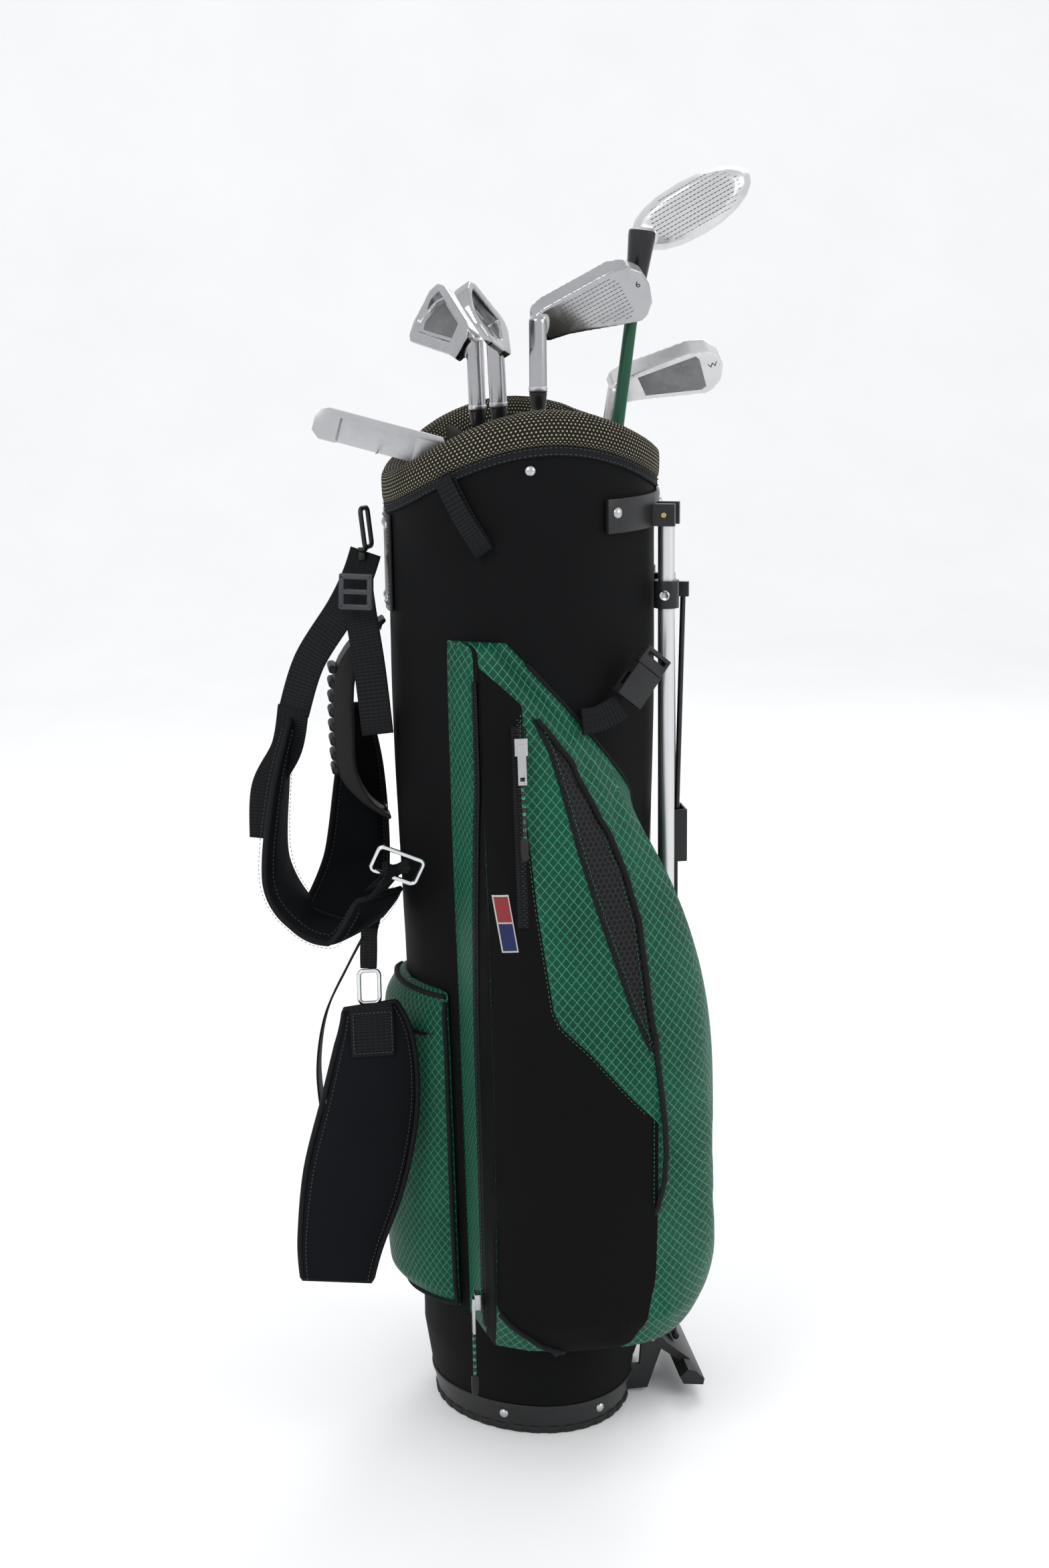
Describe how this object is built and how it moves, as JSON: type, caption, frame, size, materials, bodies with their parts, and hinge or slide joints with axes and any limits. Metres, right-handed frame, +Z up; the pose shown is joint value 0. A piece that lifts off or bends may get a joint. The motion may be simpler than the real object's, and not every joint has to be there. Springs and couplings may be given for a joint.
{
  "type": "golf club set",
  "caption": "Junior golf set: a stand bag with pockets, shoulder strap, carry handle and pedal-worked folding legs, holding a wood, irons, a wedge and a putter that draw out.",
  "frame": {"origin": "centre of the bag's underside, on the floor", "axes": "+Z up along the bag; +X towards the stand, -X towards the carrying side, -Y towards the big pocket"},
  "size_m": [0.3764, 0.2695, 0.9437],
  "materials": {
    "tube_fabric": "smooth woven nylon",
    "base_plastic": "moulded",
    "cuff_mesh": "dotted mesh over foam",
    "webbing": "ribbed webbing",
    "pocket_fabric": "ripstop nylon",
    "pad_fabric": "foam pad, bound edges",
    "vinyl": "riveted vinyl",
    "hook_steel": "plated",
    "grey_plastic": "moulded",
    "ring_chrome": "polished wire",
    "handle_rubber": "moulded with finger grooves",
    "buckle_plastic": "moulded",
    "stand_plastic": "moulded",
    "leg_tube": "satin anodised",
    "foot_rubber": "moulded",
    "rod_steel": "black coat",
    "pin_brass": "turned",
    "cord": "braided",
    "wood_shell": "lacquered",
    "head_steel": "satin cast",
    "shaft_green": "lacquered graphite",
    "shaft_grey": "lacquered graphite",
    "shaft_silver": "bright",
    "grip_rubber": "patterned",
    "ferrule": "turned"
  },
  "bodies": {
    "bag": {"bag_tube": "tube_fabric", "base_cup": "base_plastic", "top_cuff": "cuff_mesh", "rim_band": "webbing", "club_divider": "cuff_mesh", "big_pocket": "pocket_fabric", "ball_pocket": "pocket_fabric", "towel_loop": "webbing", "hook_plate": "vinyl", "snap_hook": "hook_steel", "strap_webbing": "webbing", "slider_buckle": "grey_plastic", "shoulder_pad_upper": "pad_fabric", "strap_ring_upper": "ring_chrome", "carry_handle": "handle_rubber", "leg_strap": "webbing", "buckle_socket": "buckle_plastic", "stand_head": "stand_plastic", "pivot_pin_near": "hook_steel", "pivot_pin_far": "hook_steel", "pedal_pin": "pin_brass"},
    "leg_near": {"leg_near": "leg_tube", "leg_foot_near": "foot_rubber", "leg_clamp_near": "stand_plastic"},
    "leg_far": {"leg_far": "leg_tube", "leg_foot_far": "foot_rubber", "leg_clamp_far": "stand_plastic"},
    "rod_near": {"link_rod_near": "rod_steel"},
    "rod_far": {"link_rod_far": "rod_steel"},
    "push_rod": {"push_rod": "stand_plastic"},
    "pedal": {"pedal": "stand_plastic"},
    "lower_pad": {"shoulder_pad_lower": "pad_fabric", "strap_ring_lower": "ring_chrome"},
    "buckle_plug": {"buckle_plug": "buckle_plastic"},
    "main_zip": {"main_zip_slider": "hook_steel", "main_zip_cord": "cord"},
    "front_zip": {"front_zip_slider": "hook_steel", "front_zip_cord": "cord"},
    "fairway_wood": {"fairway_wood_head": "wood_shell", "fairway_wood_shaft": "shaft_green", "fairway_wood_grip": "grip_rubber"},
    "iron_nine": {"iron_nine_head": "head_steel", "iron_nine_shaft": "shaft_green", "iron_nine_grip": "grip_rubber", "iron_nine_ferrule": "ferrule"},
    "iron_seven": {"iron_seven_head": "head_steel", "iron_seven_shaft": "shaft_grey", "iron_seven_grip": "grip_rubber", "iron_seven_ferrule": "ferrule"},
    "iron_six": {"iron_six_head": "head_steel", "iron_six_shaft": "shaft_grey", "iron_six_grip": "grip_rubber", "iron_six_ferrule": "ferrule"},
    "wedge": {"wedge_head": "head_steel", "wedge_shaft": "shaft_grey", "wedge_grip": "grip_rubber", "wedge_ferrule": "ferrule"},
    "putter": {"putter_head": "head_steel", "putter_shaft": "shaft_silver", "putter_grip": "grip_rubber"}
  },
  "joints": [
    {"name": "leg_near_swing", "type": "hinge", "parent": "bag", "child": "leg_near", "pos_m": [0.09986, -0.043, 0.7], "axis": [-0.3907, -0.9205, 0], "range_deg": [0, 38], "stiffness_Nm_per_rad": 0.25, "springref_deg": -5.73},
    {"name": "leg_far_swing", "type": "hinge", "parent": "bag", "child": "leg_far", "pos_m": [0.09986, 0.043, 0.7], "axis": [0.3907, -0.9205, 0], "range_deg": [0, 38], "stiffness_Nm_per_rad": 0.25, "springref_deg": -5.73},
    {"name": "rod_near_tilt", "type": "hinge", "parent": "leg_near", "child": "rod_near", "pos_m": [0.11736, -0.02, 0.642], "axis": [-0.3907, -0.9205, 0], "range_deg": [-49.1, 0]},
    {"name": "rod_far_tilt", "type": "hinge", "parent": "leg_far", "child": "rod_far", "pos_m": [0.11736, 0.02, 0.642], "axis": [0.3907, -0.9205, 0], "range_deg": [-49.1, 0]},
    {"name": "push_rod_lift", "type": "slide", "parent": "bag", "child": "push_rod", "axis": [0, 0, 1], "range_m": [0, 0.0215]},
    {"name": "pedal_press", "type": "hinge", "parent": "bag", "child": "pedal", "pos_m": [0.092, 0, 0.046], "axis": [0, -1, 0], "range_deg": [0, 45]},
    {"name": "lower_pad_swing", "type": "hinge", "parent": "bag", "child": "lower_pad", "pos_m": [-0.126, -0.066, 0.376], "axis": [0, 1, 0], "range_deg": [0, 35]},
    {"name": "buckle_release", "type": "slide", "parent": "bag", "child": "buckle_plug", "axis": [0.5989, 0.1397, 0.7885], "range_m": [0, 0.024]},
    {"name": "main_zip_slide", "type": "slide", "parent": "bag", "child": "main_zip", "axis": [0, 0, 1], "range_m": [0, 0.25]},
    {"name": "front_zip_slide", "type": "slide", "parent": "bag", "child": "front_zip", "axis": [0, -0.1406, -0.9901], "range_m": [0, 0.12]},
    {"name": "fairway_wood_draw", "type": "slide", "parent": "bag", "child": "fairway_wood", "axis": [0.121, 0.0178, 0.9925], "range_m": [0, 0.75]},
    {"name": "iron_nine_draw", "type": "slide", "parent": "bag", "child": "iron_nine", "axis": [0.0081, 0.0107, 0.9999], "range_m": [0, 0.74]},
    {"name": "iron_seven_draw", "type": "slide", "parent": "bag", "child": "iron_seven", "axis": [-0.0232, 0.0094, 0.9997], "range_m": [0, 0.74]},
    {"name": "iron_six_draw", "type": "slide", "parent": "bag", "child": "iron_six", "axis": [-0.0403, -0.0188, 0.999], "range_m": [0, 0.74]},
    {"name": "wedge_draw", "type": "slide", "parent": "bag", "child": "wedge", "axis": [0.1488, -0.0292, 0.9884], "range_m": [0, 0.05]},
    {"name": "putter_draw", "type": "slide", "parent": "bag", "child": "putter", "axis": [-0.006, 0.0114, 0.9999], "range_m": [0, 0.72]}
  ],
  "couplings": [
    {"joint": "leg_far_swing", "follows": "leg_near_swing", "ratio": 1},
    {"joint": "rod_near_tilt", "follows": "leg_near_swing", "ratio": -1.29},
    {"joint": "rod_far_tilt", "follows": "leg_near_swing", "ratio": -1.29},
    {"joint": "push_rod_lift", "follows": "leg_near_swing", "m_per_rad": 0.03235},
    {"joint": "pedal_press", "follows": "leg_near_swing", "ratio": 1.184}
  ]
}
